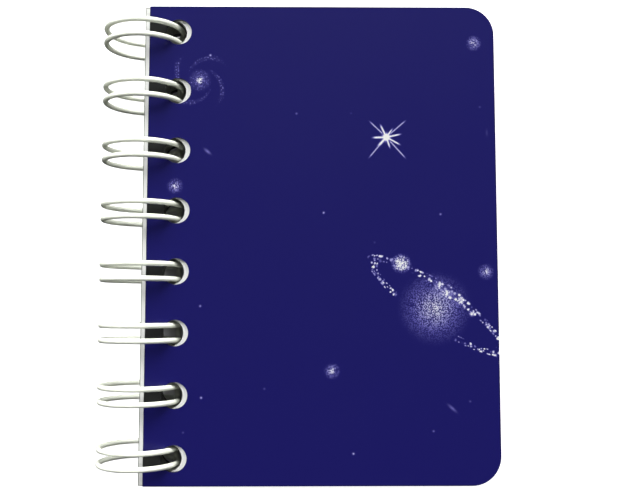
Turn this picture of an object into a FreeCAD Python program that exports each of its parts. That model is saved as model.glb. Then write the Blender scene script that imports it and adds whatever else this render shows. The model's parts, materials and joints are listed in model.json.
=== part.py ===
import FreeCAD, Part
import math
import os

# A pocket notebook bound along its left side by a twin-loop wire, lying closed on its back.
# X runs from the spine to the fore edge, Y towards the head and Z out of the front cover.
# The origin is under the middle of the whole part, level with the lowest point of the loops.
# Lengths are in millimetres and angles in degrees.

# leaves: both covers and every sheet are cut to one outline
LEAF_WIDTH = 73.0
LEAF_HEIGHT = 100.0
CORNER_RADIUS = 6.0  # on the two fore-edge corners; the spine corners stay square
HOLE_DIAMETER = 5.45
HOLE_TO_SPINE_EDGE = 6.15  # from a hole's centre to the leaf's own spine edge

# covers: a board with a printed, laminated wrap outside and a paper liner inside
BOARD_THICKNESS = 0.6
PRINT_THICKNESS = 0.1
LINER_THICKNESS = 0.1

# paper block
SHEET_COUNT = 50
SHEET_THICKNESS = 0.12
AIR_GAP = 0.03  # between one leaf and the next

# wire
LOOP_COUNT = 8
LOOP_PITCH = 12.7  # two loops to the inch
WIRE_DIAMETER = 1.1
RING_RADIUS = 8.15  # of the wire's centre line
LEG_SPACING = 3.1  # between the two wires of one loop
BEND_RADIUS = 1.0  # where a leg turns into the straight bridge to the next loop
CLOSING_SPAN = 2.9  # along the ring, from where the finger tip rounds off to where the roots begin

# how the leaves hang on the loops
COVER_TOP_ABOVE_AXIS = 4.65  # front cover's outer face over the loops' axis
COVER_EDGE_FROM_AXIS = 1.85  # front cover's spine edge to the right of the loops' axis
SHEET_SHIFT = -1.1  # sheets against the front cover, negative towards the spine
BACK_SHIFT = -1.5  # back cover against the front cover
SEAM_GAP = 1.35  # at the holes, between the last sheet and the back cover, for the wire's seam
FORE_EDGE_GAP = 0.05  # the same gap closed at the fore edge, because the back cover leans in

# places that follow from the dimensions above
WIRE_RADIUS = WIRE_DIAMETER / 2
HALF_LEGS = LEG_SPACING / 2
LOOP_REACH = RING_RADIUS + WIRE_RADIUS
PART_WIDTH = LOOP_REACH + COVER_EDGE_FROM_AXIS + LEAF_WIDTH
AXIS_X = LOOP_REACH - PART_WIDTH / 2
AXIS_Z = LOOP_REACH
FRONT_EDGE_X = AXIS_X + COVER_EDGE_FROM_AXIS
SHEET_EDGE_X = FRONT_EDGE_X + SHEET_SHIFT
BACK_EDGE_X = FRONT_EDGE_X + BACK_SHIFT
COVER_THICKNESS = PRINT_THICKNESS + BOARD_THICKNESS + LINER_THICKNESS
COVER_TOP_Z = AXIS_Z + COVER_TOP_ABOVE_AXIS
BLOCK_TOP_Z = COVER_TOP_Z - COVER_THICKNESS - AIR_GAP
SHEET_STEP = SHEET_THICKNESS + AIR_GAP
BLOCK_BOTTOM_Z = BLOCK_TOP_Z - SHEET_COUNT * SHEET_STEP + AIR_GAP
BACK_TOP_Z = BLOCK_BOTTOM_Z - SEAM_GAP
SEAM_Z = BLOCK_BOTTOM_Z - SEAM_GAP / 2
BACK_HOLE_X = BACK_EDGE_X + HOLE_TO_SPINE_EDGE
BACK_LEAN = math.degrees(math.atan2(SEAM_GAP - FORE_EDGE_GAP, BACK_EDGE_X + LEAF_WIDTH - BACK_HOLE_X))

# angles round the loops' axis, from +X towards +Z
ROOT_ANGLE = math.degrees(
    math.asin((SEAM_Z - AXIS_Z) / math.hypot(RING_RADIUS, BEND_RADIUS))
    - math.atan2(BEND_RADIUS, RING_RADIUS)
)
TIP_ANGLE = ROOT_ANGLE + math.degrees(CLOSING_SPAN / RING_RADIUS)

ALONG_Y = FreeCAD.Vector(0, 1, 0)
UP = FreeCAD.Vector(0, 0, 1)


def loop_centres():
    """The Y of each loop and of the holes it runs through, from tail to head."""
    return [(i - (LOOP_COUNT - 1) / 2) * LOOP_PITCH for i in range(LOOP_COUNT)]


def plate_outline(edge_x, z):
    """A leaf's outline: square at the spine, rounded at the fore edge."""
    far_x = edge_x + LEAF_WIDTH
    half = LEAF_HEIGHT / 2
    inset = CORNER_RADIUS * (1 - math.sqrt(0.5))
    spine_tail = FreeCAD.Vector(edge_x, -half, z)
    tail_start = FreeCAD.Vector(far_x - CORNER_RADIUS, -half, z)
    tail_middle = FreeCAD.Vector(far_x - inset, inset - half, z)
    tail_end = FreeCAD.Vector(far_x, CORNER_RADIUS - half, z)
    head_start = FreeCAD.Vector(far_x, half - CORNER_RADIUS, z)
    head_middle = FreeCAD.Vector(far_x - inset, half - inset, z)
    head_end = FreeCAD.Vector(far_x - CORNER_RADIUS, half, z)
    spine_head = FreeCAD.Vector(edge_x, half, z)
    return Part.Wire([
        Part.makeLine(spine_tail, tail_start),
        Part.Arc(tail_start, tail_middle, tail_end).toShape(),
        Part.makeLine(tail_end, head_start),
        Part.Arc(head_start, head_middle, head_end).toShape(),
        Part.makeLine(head_end, spine_head),
        Part.makeLine(spine_head, spine_tail),
    ])


def punched_plate(edge_x, bottom_z, thickness):
    """A flat leaf with its row of round holes."""
    hole_x = edge_x + HOLE_TO_SPINE_EDGE
    holes = [
        Part.Wire(Part.makeCircle(HOLE_DIAMETER / 2, FreeCAD.Vector(hole_x, y, bottom_z), UP))
        for y in loop_centres()
    ]
    face = Part.makeFace([plate_outline(edge_x, bottom_z)] + holes, "Part::FaceMakerBullseye")
    return face.extrude(UP * thickness)


def stacked(edge_x, top_z, layers):
    """Plates lying on each other from the top down, as {name: solid}."""
    plates = {}
    for name, thickness in layers:
        top_z -= thickness
        plates[name] = punched_plate(edge_x, top_z, thickness)
    return plates


def front_cover():
    return stacked(FRONT_EDGE_X, COVER_TOP_Z, [
        ("front_cover_print", PRINT_THICKNESS),
        ("front_cover_board", BOARD_THICKNESS),
        ("front_cover_liner", LINER_THICKNESS),
    ])


def back_cover():
    """The back cover lies on the wire at its holes and leans in against the last sheet."""
    plates = stacked(BACK_EDGE_X, BACK_TOP_Z, [
        ("back_cover_liner", LINER_THICKNESS),
        ("back_cover_board", BOARD_THICKNESS),
        ("back_cover_print", PRINT_THICKNESS),
    ])
    hole_line = FreeCAD.Vector(BACK_HOLE_X, 0, BACK_TOP_Z)
    for plate in plates.values():
        plate.rotate(hole_line, -ALONG_Y, BACK_LEAN)
    return plates


def sheets():
    """The paper block, one node for each sheet, numbered from the front."""
    first = punched_plate(SHEET_EDGE_X, BLOCK_TOP_Z - SHEET_THICKNESS, SHEET_THICKNESS)
    return {
        f"sheet_{i + 1:02d}": first.translated(UP * (-i * SHEET_STEP))
        for i in range(SHEET_COUNT)
    }


def ring_point(angle, y):
    """A point on the loops' centre line."""
    across = RING_RADIUS * math.cos(math.radians(angle))
    up = RING_RADIUS * math.sin(math.radians(angle))
    return FreeCAD.Vector(AXIS_X + across, y, AXIS_Z + up)


def along_ring(angle):
    """The direction in which the wire runs round from its roots to its tips."""
    turn = math.radians(angle)
    return FreeCAD.Vector(math.sin(turn), 0, -math.cos(turn))


def bent_wire(centre, start, heading, radius, sweep):
    """Round wire bent about centre: it begins in direction start and sets off along heading."""
    bend = Part.makeTorus(radius, WIRE_RADIUS, FreeCAD.Vector(), UP, -180, 180, sweep)
    turn = FreeCAD.Rotation(start, heading, start.cross(heading), "ZXY")
    bend.Placement = FreeCAD.Placement(centre, turn)
    return bend


def finger(y):
    """Two legs round the leaves, joined by the round tip that meets the roots."""
    outward = (ring_point(ROOT_ANGLE, 0) - ring_point(ROOT_ANGLE + 180, 0)).normalize()
    sweep = 360 - (TIP_ANGLE - ROOT_ANGLE)
    legs = [
        bent_wire(FreeCAD.Vector(AXIS_X, y + side * HALF_LEGS, AXIS_Z), outward,
                  along_ring(ROOT_ANGLE), RING_RADIUS, sweep)
        for side in (-1, 1)
    ]
    tip = bent_wire(ring_point(TIP_ANGLE, y), ALONG_Y, along_ring(TIP_ANGLE), HALF_LEGS, 180)
    return legs + [tip]


def root_bend(y, side):
    """The quarter turn from a leg into a bridge."""
    centre = ring_point(ROOT_ANGLE, y + side * (HALF_LEGS + BEND_RADIUS))
    return bent_wire(centre, ALONG_Y * -side, along_ring(ROOT_ANGLE) * -1, BEND_RADIUS, 90)


def bridge(low_y, high_y):
    """The straight wire between two loops, lying in the seam."""
    start_y = low_y + HALF_LEGS + BEND_RADIUS
    length = high_y - low_y - 2 * (HALF_LEGS + BEND_RADIUS)
    start = ring_point(ROOT_ANGLE, start_y) - along_ring(ROOT_ANGLE) * BEND_RADIUS
    return Part.makeCylinder(WIRE_RADIUS, length, start, ALONG_Y)


def cut_end(y, side):
    """The cut end of the wire, on the outer leg of the first and of the last loop."""
    start = ring_point(ROOT_ANGLE, y + side * HALF_LEGS)
    return Part.makeCylinder(WIRE_RADIUS, BEND_RADIUS, start, along_ring(ROOT_ANGLE) * -1)


def twin_loop_wire():
    """One continuous wire: a comb of double fingers closed into loops."""
    centres = loop_centres()
    pieces = [cut_end(centres[0], -1), cut_end(centres[-1], 1)]
    for y in centres:
        pieces += finger(y)
    for low_y, high_y in zip(centres, centres[1:]):
        pieces += [root_bend(low_y, 1), bridge(low_y, high_y), root_bend(high_y, -1)]
    return pieces[0].multiFuse(pieces[1:]).Solids[0]


def wire_length():
    """The developed length of the wire's centre line."""
    legs = 2 * math.radians(360 - (TIP_ANGLE - ROOT_ANGLE)) * RING_RADIUS
    bridges = LOOP_PITCH - LEG_SPACING - 2 * BEND_RADIUS + math.pi * BEND_RADIUS
    return LOOP_COUNT * (legs + math.pi * HALF_LEGS) + (LOOP_COUNT - 1) * bridges + 2 * BEND_RADIUS


def main():
    os.makedirs("parts", exist_ok=True)
    nodes = {**front_cover(), **sheets(), **back_cover(), "twin_loop_wire": twin_loop_wire()}
    for name, shape in nodes.items():
        shape.exportStep(f"parts/{name}.step")
    expected = wire_length() * math.pi * WIRE_RADIUS ** 2
    print(f"{len(nodes)} nodes; wire volume {nodes['twin_loop_wire'].Volume:.2f}, expected {expected:.2f}")


main()
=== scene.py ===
"""The pocket notebook's looks: print, board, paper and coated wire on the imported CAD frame.

Metres, in the frame's own axes: +X from the spine to the fore edge, +Y to the head, +Z out of the
front cover. Sizes inside the materials are in millimetres from a cover's spine and head edges.
"""
import json
import math

import bpy
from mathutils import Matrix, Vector


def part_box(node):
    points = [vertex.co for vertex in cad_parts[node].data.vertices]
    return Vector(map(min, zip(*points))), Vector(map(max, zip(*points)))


MM = 0.001

# camera, set against the front cover's outer face
CAMERA_FROM_SPINE = 32.85 * MM
CAMERA_FROM_TAIL = 35.85 * MM
CAMERA_HEIGHT = 158.8 * MM
CAMERA_TURN = (0.0770, -0.0102, -0.0003)  # radians
LENS_MM = 44.18
SENSOR_MM = 36.0

# the notebook's own measures that the print needs, in millimetres
HOLE_FROM_SPINE = 6.15
HOLE_RADIUS = 2.73
LOOP_COUNT = 8
LOOP_PITCH = 12.7
FIRST_HOLE = 50.0 - LOOP_PITCH * (LOOP_COUNT - 1) / 2  # from the head edge

# dark bands between the two wires of each loop, in millimetres
BAND_HALF_WIDTH = 1.0
BAND_LEAN = 1.23  # how far the first band drops from its hole to the spine edge
BAND_LEAN_STEP = 0.27  # how much less each next one drops

# ruled lines on the sheets, in millimetres
RULE_STEP = 6.0
RULED_FROM_HEAD = 11.0
RULED_FROM_TAIL = 4.0
RULED_FROM_SPINE = 12.0

# colours, in linear light
NAVY = (0.0117, 0.0101, 0.1345)
# painted shade along the covers' edges
NAVY_EDGE_SHADE = (0.0065, 0.0055, 0.065)
VIOLET = (0.19, 0.175, 0.60)
STARLIGHT = (0.92, 0.93, 0.90)
BLACK_BOARD = (0.021, 0.022, 0.022)
BLACK_PAPER = (0.02, 0.02, 0.022)
PAPER_WHITE = (0.88, 0.89, 0.865)
# grey of the streaks on the leaves' cut edges, and of the painted shade line round their faces
PAPER_EDGE = (0.16, 0.17, 0.14)
# painted shade inside the punched holes
HOLE_WALL_SHADE = (0.30, 0.305, 0.28)
WIRE_WHITE = (0.92, 0.95, 0.83)
RULE_BLUE = (0.30, 0.40, 0.60)
FLOOR_WHITE = (0.95, 0.95, 0.95)
WHITE = (1.0, 1.0, 1.0)

# the denoiser takes gloss under about 0.274 rough for a mirror, and outlines the noise that crosses it
LEAST_ROUGHNESS = 0.285

# studio
FLOOR_GLOW = 0.9
BACKDROP_GLOW = 1.2
WORLD_GLOW = 0.05
STUDIO_RADIUS = 3.0


class Value:
    """A number worked out by a material's nodes. Python's signs on it add Math nodes."""

    def __init__(self, tree, socket):
        self.tree = tree
        self.socket = socket

    def maths(self, operation, *others):
        node = self.tree.nodes.new("ShaderNodeMath")
        node.operation = operation
        for slot, item in zip(node.inputs, (self, *others)):
            feed(self.tree, slot, item)
        return Value(self.tree, node.outputs[0])

    def __add__(self, other):
        return self.maths("ADD", other)

    def __sub__(self, other):
        return self.maths("SUBTRACT", other)

    def __mul__(self, other):
        return self.maths("MULTIPLY", other)

    def __truediv__(self, other):
        return self.maths("DIVIDE", other)

    def size(self):
        return self.maths("ABSOLUTE")

    def squared(self):
        return self * self

    def least(self, other):
        return self.maths("MINIMUM", other)

    def most(self, other):
        return self.maths("MAXIMUM", other)

    def below(self, edge, soft):
        """1 where this is under edge, 0 where it is over, with a ramp soft wide between."""
        return self.ramp(edge - soft / 2, edge + soft / 2, 1.0, 0.0)

    def ramp(self, low, high, start=0.0, end=1.0):
        node = self.tree.nodes.new("ShaderNodeMapRange")
        node.interpolation_type = "SMOOTHSTEP"
        for slot, item in zip(node.inputs, (self, low, high, start, end)):
            feed(self.tree, slot, item)
        return Value(self.tree, node.outputs[0])

    def glow(self, reach):
        """A bell curve: 1 at 0, falling away over reach."""
        return (self / reach).squared().maths("MULTIPLY", -1.0).maths("EXPONENT")


def feed(tree, slot, item):
    """Puts a Value, a number or a colour into a node's input."""
    if isinstance(item, Value):
        tree.links.new(item.socket, slot)
    elif isinstance(item, (int, float)):
        slot.default_value = item
    else:
        slot.default_value = (*item, 1.0)


def shade(colour, share):
    return tuple(c * share for c in colour)


def length(across, up):
    return (across.squared() + up.squared()).maths("SQRT")


class Material:
    """One procedural material: a Principled shader with the object's own coordinates to hand."""

    def __init__(self, name, roughness, **shader):
        self.result = bpy.data.materials.new(name)
        self.result.use_nodes = True
        self.tree = self.result.node_tree
        self.shader = self.tree.nodes["Principled BSDF"]
        self.shader.inputs["Roughness"].default_value = roughness
        for slot, value in shader.items():
            self.shader.inputs[slot.replace("_", " ")].default_value = value
        self.place = self.add("ShaderNodeTexCoord").outputs["Object"]

    def add(self, kind, **settings):
        node = self.tree.nodes.new(kind)
        for name, value in settings.items():
            setattr(node, name, value)
        return node

    def split(self, vector):
        """A vector's X, Y and Z."""
        node = self.add("ShaderNodeSeparateXYZ")
        self.tree.links.new(vector, node.inputs[0])
        return [Value(self.tree, output) for output in node.outputs]

    def facing(self):
        """How far the surface faces along its object's Z, from -1 to 1."""
        return self.split(self.add("ShaderNodeTexCoord").outputs["Normal"])[2]

    def noise(self, size, detail=2.0, stretch=(1, 1, 1)):
        """Cloudy noise from 0 to 1, with features about size wide."""
        node = self.add("ShaderNodeTexNoise")
        node.inputs["Scale"].default_value = 1.0 / size
        node.inputs["Detail"].default_value = detail
        self.stretched(node, stretch)
        return Value(self.tree, node.outputs["Fac"])

    def clumps(self, size, density):
        """Spots of many sizes about size apart across X and Y, on the share density of their places."""
        node = self.add("ShaderNodeTexVoronoi", voronoi_dimensions="2D")
        node.inputs["Scale"].default_value = 1.0 / size
        self.tree.links.new(self.place, node.inputs["Vector"])
        lot, width, strength = self.split(node.outputs["Color"])
        ragged = Value(self.tree, node.outputs["Distance"]) + self.noise(size * 0.45) * 0.5 - 0.25
        spots = (ragged / (width * 0.5 + 0.5)).ramp(0.15, 0.62, 1.0, 0.0)
        return spots * (lot * -1.0 + density).ramp(0.0, 0.12) * (strength * 0.7 + 0.4)

    def stretched(self, node, stretch):
        mapping = self.add("ShaderNodeMapping")
        mapping.inputs["Scale"].default_value = stretch
        self.tree.links.new(self.place, mapping.inputs["Vector"])
        self.tree.links.new(mapping.outputs[0], node.inputs["Vector"])

    def mix(self, share, first, second):
        """A colour between first, at share 0, and second, at share 1."""
        node = self.add("ShaderNodeMix", data_type="RGBA")
        feed(self.tree, node.inputs["Factor"], share)
        feed(self.tree, node.inputs[6], first)
        feed(self.tree, node.inputs[7], second)
        return Value(self.tree, node.outputs[2])

    def colour(self, item):
        feed(self.tree, self.shader.inputs["Base Color"], item)

    def roughness(self, item):
        feed(self.tree, self.shader.inputs["Roughness"], item)

    def bump(self, height, depth):
        """Raises the surface by depth where height is 1."""
        node = self.add("ShaderNodeBump")
        node.inputs["Distance"].default_value = depth
        feed(self.tree, node.inputs["Height"], height)
        self.tree.links.new(node.outputs[0], self.shader.inputs["Normal"])


def spot(at, centre):
    """Where a point of the cover stands from a motif's centre: across, down."""
    return at[0] - centre[0], at[1] - centre[1]


def turned(at, degrees):
    """The same place in axes turned clockwise: along, across."""
    c = math.cos(math.radians(degrees))
    s = math.sin(math.radians(degrees))
    return at[0] * c + at[1] * s, at[1] * c - at[0] * s


def fuzzy_star(at, grain, centre, radius, strength=0.54):
    """A small round cluster of grains, thinning out evenly from its middle."""
    away = length(*spot(at, centre)) / radius
    cluster = (away * -1.0 + 1.0).most(0.0) * (grain * 1.3 + 0.3)
    return (cluster + away.glow(0.16) * 0.35) * strength


def dot(at, centre, radius, strength):
    return length(*spot(at, centre)).glow(radius) * strength


def dash(at, centre, degrees, half_length, half_width, strength):
    """A star cloud seen edge on."""
    along, across = turned(spot(at, centre), degrees)
    return along.glow(half_length) * across.glow(half_width) * strength


def ray(at, degrees, start, end, width, strength):
    """One beam from the origin of at: it fades in past start and runs out to a soft tip at end."""
    along, across = turned(at, degrees)
    beam = (across / width).glow(1.0) * strength
    return beam * along.ramp(start - 0.4, start + 0.2) * along.ramp(end - 1.4, end + 0.2, 1.0, 0.0)


def burst(at, centre):
    """A bright star with four long thin rays between seven shorter thick ones."""
    here = spot(at, centre)
    light = length(*here).glow(0.75) * 1.7
    for degrees, reach in ((-136, 5.3), (-41, 5.8), (48, 6.4), (130, 6.1)):
        light = light.most(ray(here, degrees, 1.2, reach, 0.16, 0.62))
    for degrees, reach, width in (
        (-115, 3.3, 0.2), (-54, 2.6, 0.18), (-12, 3.5, 0.19), (29, 3.7, 0.18), (72, 2.8, 0.19),
        (132, 3.1, 0.27), (178, 3.3, 0.22),
    ):
        light = light.most(ray(here, degrees, 0.0, reach, width, 1.05))
    return light


def ball(at, grain, centre, radius):
    """A globe made of bright grains, thinning out towards its edge."""
    away = length(*spot(at, centre)) / radius
    return (away * -1.0 + 1.0).most(0.0) * (grain * 1.9 + 0.05) * 0.43


def halo_ring(material, at, centre, degrees, half_length, half_width):
    """Bright clumps along a tilted ring round the globe, crowded where it passes in front."""
    here = spot(at, centre)
    along, across = turned(here, degrees)
    around = length(along / half_length, across / half_width)
    off_line = (length(*here) * (around - 1.0) / around).size()
    band = off_line.ramp(0.95, 1.6, 1.0, 0.0)
    front = across.ramp(-2.0, -1.0, 1.0, 0.0) * (along - 2.0).size().ramp(5.5, 8.5, 1.0, 0.0)
    behind = across.ramp(-0.5, 0.5) * along.ramp(-8.8, -7.8) * along.ramp(6.6, 7.6, 1.0, 0.0)
    density = front * 0.15 + 0.78
    clumps = material.clumps(0.98 * MM, density).most(material.clumps(0.64 * MM, density - 0.25))
    return band * clumps * (behind * -1.0 + 1.0)


def spiral(material, at, grain, centre):
    """A bright core in a disc of violet grains, with four faint arms that trail clockwise."""
    across, down = spot(at, centre)
    away = length(across, down)
    turn = down.maths("ARCTAN2", across) - away.maths("LOGARITHM", math.e) * 2.0
    arms = (turn * 4.0 + 0.6).maths("SINE").ramp(0.35, 1.0)
    arms = arms * away.ramp(2.4, 3.6) * away.ramp(5.6, 7.0, 1.0, 0.0)
    arms = arms * (material.clumps(0.45 * MM, 0.75) * 0.36 + 0.08)
    disc = away.ramp(1.6, 2.8, 1.0, 0.0) * (material.clumps(0.4 * MM, 0.75) * 0.3 + grain * 0.08 + 0.08)
    return arms.most(disc).most(fuzzy_star(at, grain, centre, 1.45, 0.75))


def hole_bands(at):
    """1 on the dark strips that run from each hole to the spine edge, between the two wires."""
    out = at[0].ramp(0.0, HOLE_FROM_SPINE, 1.0, 0.0)
    strips = None
    for i in range(LOOP_COUNT):
        lean = BAND_LEAN - BAND_LEAN_STEP * i
        down = at[1] - (FIRST_HOLE + LOOP_PITCH * i)
        low = out * min(-lean, 0.0) - BAND_HALF_WIDTH
        high = out * max(-lean, 0.0) + BAND_HALF_WIDTH
        strip = (down - low).ramp(0.0, 0.05) * (high - down).ramp(0.0, 0.05)
        strips = strip if strips is None else strips.most(strip)
    return strips * at[0].below(HOLE_FROM_SPINE, 0.05)


def rim(at, wide, tall, width):
    """1 along the straight edges of a cover's or a leaf's face, where a thin line of painted shade goes."""
    inside = at[0].least(at[0] * -1.0 + wide).least(at[1]).least(at[1] * -1.0 + tall)
    return inside.ramp(0.0, width, 1.0, 0.0)


def leaf_place(material, node):
    """Millimetres from a leaf's spine edge and from its head, and its width and height."""
    low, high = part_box(node)
    x, y, _ = material.split(material.place)
    at = ((x - low.x) / MM, (y * -1.0 + high.y) / MM)
    return at, (high.x - low.x) / MM, (high.y - low.y) / MM


def printed(name, node, sky, bands):
    """Dark blue print under a gloss film, with sky(material, at, grain) drawn in white."""
    material = Material(name, 0.3, IOR=1.46)
    at, wide, tall = leaf_place(material, node)
    grain = material.noise(0.24 * MM, 1.0).ramp(0.39, 0.61)
    tone = material.mix(material.noise(9.0 * MM), NAVY, shade(NAVY, 1.03))
    # painted shade: a darker line along the cover's edges
    tone = material.mix(rim(at, wide, tall, 0.35) * 0.8, tone, NAVY_EDGE_SHADE)
    light = sky(material, at, grain)
    tone = material.mix(light.ramp(0.0, 0.6), tone, VIOLET)
    tone = material.mix(light.ramp(0.3, 1.0), tone, STARLIGHT)
    if bands:
        tone = material.mix(hole_bands(at), tone, BLACK_BOARD)
    material.colour(tone)
    material.roughness(material.noise(14.0 * MM, 1.0).ramp(0.2, 0.8, LEAST_ROUGHNESS, 0.305))
    material.bump(material.noise(0.9 * MM, 1.0), 0.0006 * MM)
    return material.result


def front_sky(material, at, grain):
    """Everything printed on the front cover."""
    light = burst(at, (50.0, 28.1))
    light = light.most(ball(at, grain, (59.8, 63.9), 8.2))
    light = light.most(halo_ring(material, at, (60.3, 63.4), 35.0, 16.2, 3.6))
    for centre, radius in (
        ((60.9, 59.2), 0.6), ((62.3, 60.8), 0.75), ((65.2, 62.4), 0.7), ((67.4, 65.1), 0.5),
    ):
        light = light.most(dot(at, centre, radius, 1.0) * (grain * 0.8 + 0.45))
    light = light.most(spiral(material, at, grain, (10.7, 16.0)))
    for centre, radius, strength in (
        ((52.9, 54.7), 2.25, 1.1), ((70.5, 56.4), 1.9, 0.52), ((68.7, 7.8), 1.9, 0.54),
        ((38.45, 76.8), 1.9, 0.54), ((5.8, 38.5), 1.9, 0.54),
    ):
        light = light.most(fuzzy_star(at, grain, centre, radius, strength))
    for centre, degrees, half_length, strength in (
        ((12.5, 31.2), 40, 0.95, 0.4), ((63.1, 84.4), 42, 1.2, 0.35), ((71.2, 27.1), 90, 0.9, 0.15),
    ):
        light = light.most(dash(at, centre, degrees, half_length, 0.32, strength))
    for centre, strength in (
        ((36.8, 44.1), 0.55), ((61.2, 44.4), 0.45), ((69.8, 21.6), 0.25), ((31.1, 23.1), 0.35),
        ((42.6, 23.0), 0.2), ((11.3, 63.5), 0.5), ((11.7, 82.2), 0.6), ((8.1, 89.2), 0.25),
        ((42.8, 93.5), 0.6), ((59.2, 89.0), 0.35), ((66.8, 83.0), 0.25), ((24.6, 80.4), 0.25),
        ((47.4, 50.3), 0.2), ((12.9, 10.6), 0.6),
    ):
        light = light.most(dot(at, centre, 0.26, strength))
    return light


def back_sky(material, at, grain):
    """A few small stars on the back cover."""
    light = fuzzy_star(at, grain, (20.0, 22.0), 1.9).most(fuzzy_star(at, grain, (57.0, 71.0), 2.2, 0.8))
    light = light.most(dash(at, (38.0, 40.0), 35, 1.2, 0.32, 0.35))
    for centre in ((56.0, 14.0), (34.0, 58.0), (62.0, 87.0), (14.0, 86.0), (66.0, 38.0)):
        light = light.most(dot(at, centre, 0.3, 0.6))
    return light


def board():
    """Black board: its cut edge shows fine layers of fibre."""
    material = Material("black_board", 0.8)
    fibre = material.noise(0.12 * MM, 4.0, (1, 1, 5))
    material.colour(material.mix(fibre, BLACK_BOARD, (0.05, 0.05, 0.055)))
    material.bump(fibre, 0.03 * MM)
    return material.result


def black_paper():
    """Matte black paper on the insides of the covers."""
    material = Material("liner_paper", 0.75)
    fibre = material.noise(0.25 * MM, 4.0)
    material.colour(material.mix(fibre, BLACK_PAPER, shade(BLACK_PAPER, 1.6)))
    material.bump(fibre, 0.006 * MM)
    return material.result


def hole_walls(material, at):
    """1 on the walls of a leaf's punched holes, which painted shade darkens."""
    down = (at[1] + (LOOP_PITCH * 1.5 - FIRST_HOLE)).maths("MODULO", LOOP_PITCH) - LOOP_PITCH / 2
    away = length(at[0] - HOLE_FROM_SPINE, down)
    return away.below(HOLE_RADIUS + 0.15, 0.1) * material.facing().size().ramp(0.3, 0.7, 1.0, 0.0)


def writing_paper():
    """Uncoated paper with a fibrous tooth, streaked grey on its cut edges and ruled on both faces; painted
    shade greys a thin line round each face and the walls of its punched holes.
    """
    material = Material("writing_paper", 0.85)
    material.shader.inputs["Specular IOR Level"].default_value = 0.3
    at, wide, tall = leaf_place(material, "sheet_01")
    fibre = material.noise(0.25 * MM, 4.0)
    tone = material.mix(fibre, shade(PAPER_WHITE, 0.975), PAPER_WHITE)
    line = ((at[1] + RULE_STEP / 2).maths("MODULO", RULE_STEP) - RULE_STEP / 2).size().below(0.11, 0.06)
    page = at[1].ramp(RULED_FROM_HEAD - 0.1, RULED_FROM_HEAD)
    page = page * at[1].below(tall - RULED_FROM_TAIL, 0.1)
    page = page * at[0].ramp(RULED_FROM_SPINE - 0.1, RULED_FROM_SPINE)
    flat = material.facing().size().ramp(0.8, 0.95)
    tone = material.mix(line * page * flat, tone, RULE_BLUE)
    # painted shade: a thin grey line round the edges of each face
    tone = material.mix(rim(at, wide, tall, 0.3) * flat, tone, PAPER_EDGE)
    streaks = material.noise(0.33 * MM, 3.0, (0.03, 0.03, 1)).ramp(0.4, 0.66)
    tone = material.mix(streaks * (flat * -1.0 + 1.0) * 0.55, tone, PAPER_EDGE)
    # painted shade: the walls of the punched holes darkened
    material.colour(material.mix(hole_walls(material, at), tone, HOLE_WALL_SHADE))
    material.bump(fibre, 0.006 * MM)
    return material.result


def coated_wire():
    """White nylon coat on steel wire: glossy, with slight waves where the coat is thicker."""
    material = Material("white_coated_wire", 0.28, Coat_Weight=0.3, Coat_Roughness=0.15)
    waves = material.noise(1.6 * MM, 3.0)
    material.colour(material.mix(waves.ramp(0.35, 0.75), WIRE_WHITE, shade(WIRE_WHITE, 0.96)))
    material.roughness(waves.ramp(0.3, 0.7, LEAST_ROUGHNESS, 0.37))
    material.bump(waves, 0.015 * MM)
    return material.result


def dress(frame):
    """Gives every CAD node its material."""
    by_slot = {
        "cover_print": printed("front_print", "front_cover_print", front_sky, True),
        "back_print": printed("back_print", "back_cover_print", back_sky, False),
        "cover_board": board(),
        "cover_liner": black_paper(),
        "paper": writing_paper(),
        "wire": coated_wire(),
    }
    for part in frame["record"]["subparts"]:
        mesh = frame["nodes"][part["node"]].data
        mesh.materials.clear()
        mesh.materials.append(by_slot[part["material_slot"]])


def camera():
    low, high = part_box("front_cover_print")
    data = bpy.data.cameras.new("camera")
    data.lens = LENS_MM
    data.sensor_width = SENSOR_MM
    data.clip_start = 0.01
    view = bpy.data.objects.new("camera", data)
    view.location = (low.x + CAMERA_FROM_SPINE, low.y + CAMERA_FROM_TAIL, high.z + CAMERA_HEIGHT)
    view.rotation_euler = CAMERA_TURN
    bpy.context.scene.collection.objects.link(view)
    bpy.context.scene.camera = view


def floor():
    """A pale sheet tilted to touch the loops and the back cover's fore edge, as a desk would."""
    low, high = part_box("twin_loop_wire")
    reach = (high.z - low.z) / 2
    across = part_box("back_cover_print")[1].x - (low.x + high.x) / 2
    drop = low.z + reach - edge_height()
    slope = math.asin(reach / math.hypot(across, drop)) - math.atan2(drop, across)
    bpy.ops.mesh.primitive_plane_add(size=2 * STUDIO_RADIUS)
    sheet = bpy.context.object
    sheet.name = "floor"
    centre = Vector(((low.x + high.x) / 2, 0.0, low.z + reach))
    sheet.location = centre + Vector((math.sin(slope), 0.0, -math.cos(slope))) * reach
    sheet.rotation_euler = (0.0, -slope, 0.0)
    only_seen(sheet, floor_material(sheet.location))


def backdrop():
    """A white dome all round, so that the floor's horizon doesn't show."""
    bpy.ops.mesh.primitive_uv_sphere_add(radius=STUDIO_RADIUS, segments=48, ring_count=24)
    dome = bpy.context.object
    dome.name = "backdrop"
    material = Material("backdrop", 1.0, Emission_Strength=BACKDROP_GLOW)
    material.colour((0.0, 0.0, 0.0))
    feed(material.tree, material.shader.inputs["Emission Color"], WHITE)
    only_seen(dome, material.result)
    dome.visible_shadow = False


def only_seen(piece, material):
    """Gives piece its material and hides it from diffuse and gloss rays: the camera sees it, and it throws
    no light on the notebook.
    """
    piece.visible_diffuse = False
    piece.visible_glossy = False
    piece.data.materials.append(material)


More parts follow.
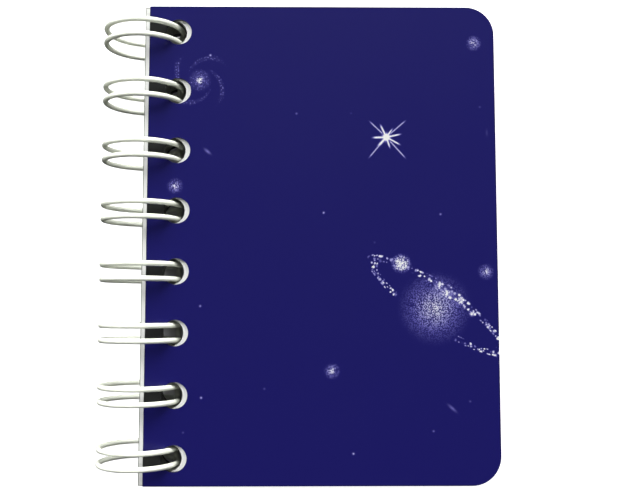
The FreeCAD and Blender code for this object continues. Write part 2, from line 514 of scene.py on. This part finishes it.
def floor_material(origin):
    """White, glowing everywhere but under the leaves, so that it stays pale in the soft shadows."""
    low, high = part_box("sheet_01")
    material = Material("pale_floor", 0.9)
    material.shader.inputs["Specular IOR Level"].default_value = 0.1
    material.colour(FLOOR_WHITE)
    x, y, _ = material.split(material.place)
    from_middle = (x + (origin.x - (low.x + high.x) / 2)).size()
    past = (from_middle - (high.x - low.x) / 2).most(y.size() - high.y)
    feed(material.tree, material.shader.inputs["Emission Color"], WHITE)
    glow = past.ramp(-1.0 * MM, 0.0) * FLOOR_GLOW + past.ramp(0.05, 0.5) * (1.0 - FLOOR_GLOW)
    feed(material.tree, material.shader.inputs["Emission Strength"], glow)
    return material.result


def edge_height():
    """The lowest height of the back cover along its fore edge."""
    mesh = bpy.data.objects["back_cover_print"].data
    far = max(v.co.x for v in mesh.vertices)
    on_edge = far - 0.2 * MM
    return min(v.co.z for v in mesh.vertices if v.co.x > on_edge)


def softbox(name, place, size, watts, gloss_only=False):
    """A square lamp facing the notebook that either lights it or only shows in its gloss."""
    data = bpy.data.lights.new(name, "AREA")
    data.size = size
    data.energy = watts
    lamp = bpy.data.objects.new(name, data)
    lamp.location = place
    lamp.rotation_euler = (Vector(place) * -1).to_track_quat("-Z", "Y").to_euler()
    lamp.visible_glossy = gloss_only
    lamp.visible_diffuse = not gloss_only
    bpy.context.scene.collection.objects.link(lamp)
    return lamp


def lit_only(name, nodes, *lamps):
    """Makes lamps light these nodes and nothing else."""
    receivers = bpy.data.collections.new(name)
    for node in nodes:
        receivers.objects.link(node)
    for lamp in lamps:
        lamp.light_linking.receiver_collection = receivers


def light(nodes):
    """Soft light, most from the head's side. The wire and the top sheet get more, the leaves a low fill."""
    # each lamp's place and side in metres, and its power in watts
    head, left, right = (0.0, 1.5, 1.1), (-1.2, 0.8, 1.0), (1.2, 0.8, 1.0)
    softbox("overhead", (0.0, 0.3, 0.9), 0.6, 0.9)
    softbox("key", head, 1.5, 28.0)
    softbox("left", left, 0.9, 12.0)
    softbox("right", right, 0.9, 3.0)
    for side, x, y in (("left", -0.8, 0.0), ("right", 0.8, 0.0), ("head", 0.0, 0.8), ("tail", 0.0, -0.8)):
        softbox(f"{side}_gloss", (x, y, 0.3), 0.4, 1.2, True)
    lit_only("wire", [nodes["twin_loop_wire"]],
             softbox("wire_head", (0.0, 1.3, 0.8), 0.8, 26.0),
             softbox("wire_left", left, 0.8, 10.0),
             softbox("wire_right", right, 0.8, 14.0))
    lit_only("top_sheet", [nodes["sheet_01"]], softbox("sheet_left", left, 0.9, 14.0))
    lit_only("leaves", [node for name, node in nodes.items() if name != "twin_loop_wire"],
             softbox("tail_fill", (0.3, -1.3, 0.15), 0.8, 10.0),
             softbox("fore_fill", (1.3, -0.3, 0.15), 0.8, 9.0))
    world = bpy.data.worlds.new("studio")
    world.use_nodes = True
    background = world.node_tree.nodes["Background"]
    background.inputs["Color"].default_value = (*WHITE, 1.0)
    background.inputs["Strength"].default_value = WORLD_GLOW
    bpy.context.scene.world = world
    world.cycles_visibility.glossy = False
    bpy.context.scene.view_settings.view_transform = "Standard"


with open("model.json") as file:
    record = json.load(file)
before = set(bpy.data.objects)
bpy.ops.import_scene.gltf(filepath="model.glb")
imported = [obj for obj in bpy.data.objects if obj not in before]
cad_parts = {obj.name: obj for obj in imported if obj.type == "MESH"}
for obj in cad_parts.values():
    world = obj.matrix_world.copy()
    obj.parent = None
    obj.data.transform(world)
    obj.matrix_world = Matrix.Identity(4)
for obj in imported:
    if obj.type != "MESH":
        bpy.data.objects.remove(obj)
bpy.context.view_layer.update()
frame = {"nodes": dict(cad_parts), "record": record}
camera()
dress(frame)
floor()
backdrop()
light(frame["nodes"])
